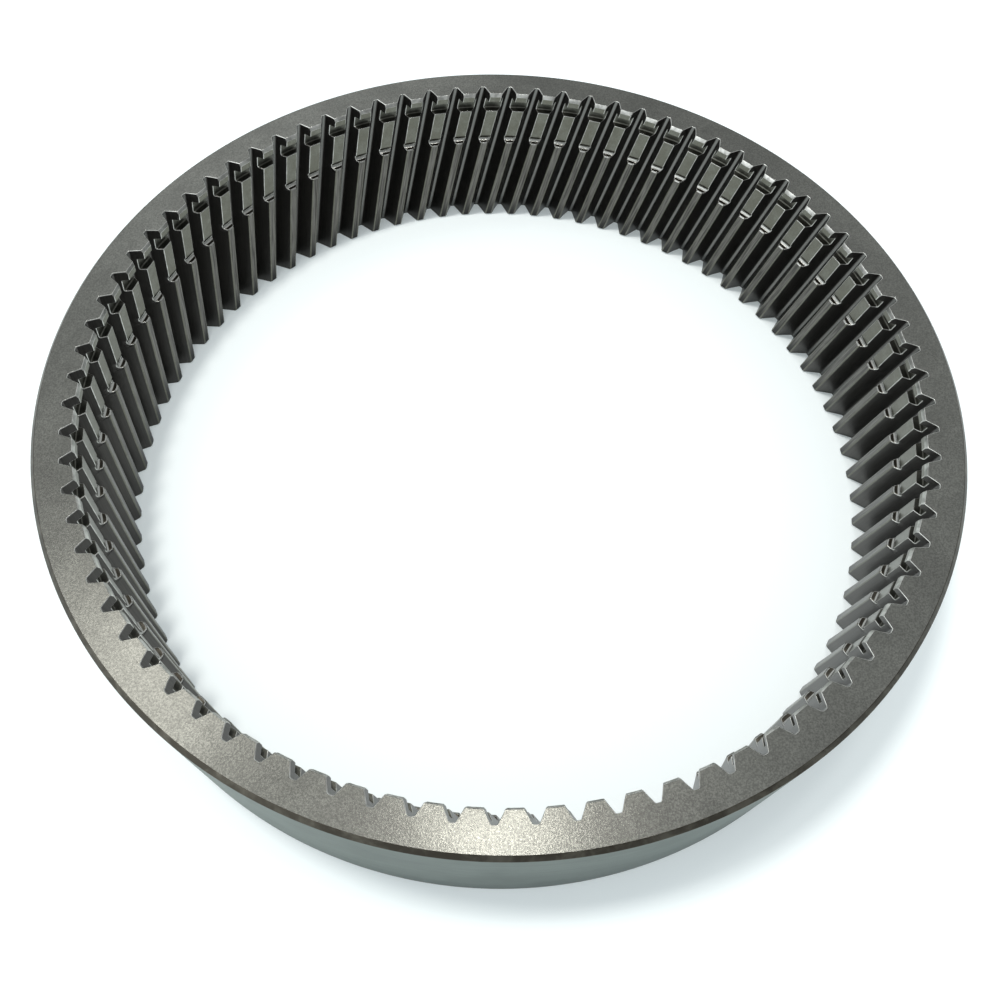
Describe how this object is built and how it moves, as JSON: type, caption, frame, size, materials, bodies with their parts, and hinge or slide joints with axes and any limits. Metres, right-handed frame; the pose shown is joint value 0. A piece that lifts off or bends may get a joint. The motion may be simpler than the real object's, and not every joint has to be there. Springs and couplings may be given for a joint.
{
  "type": "ring gear",
  "caption": "Internal helical ring gear with a stepped, grooved bore, for a planetary reduction; it holds a hub plate on its shoulder under a snap ring.",
  "frame": {"origin": "centre of the bottom face, on the gear's axis", "axes": "+Z along the gear's axis, from the full-height teeth towards the bored and grooved end; +X through the middle of a tooth space at the top face"},
  "size_m": [0.275, 0.275, 0.057],
  "materials": {
    "gear_steel": "ground and turned steel with dark hobbed tooth flanks"
  },
  "bodies": {
    "root": {"ring_gear": "gear_steel"}
  },
  "joints": []
}
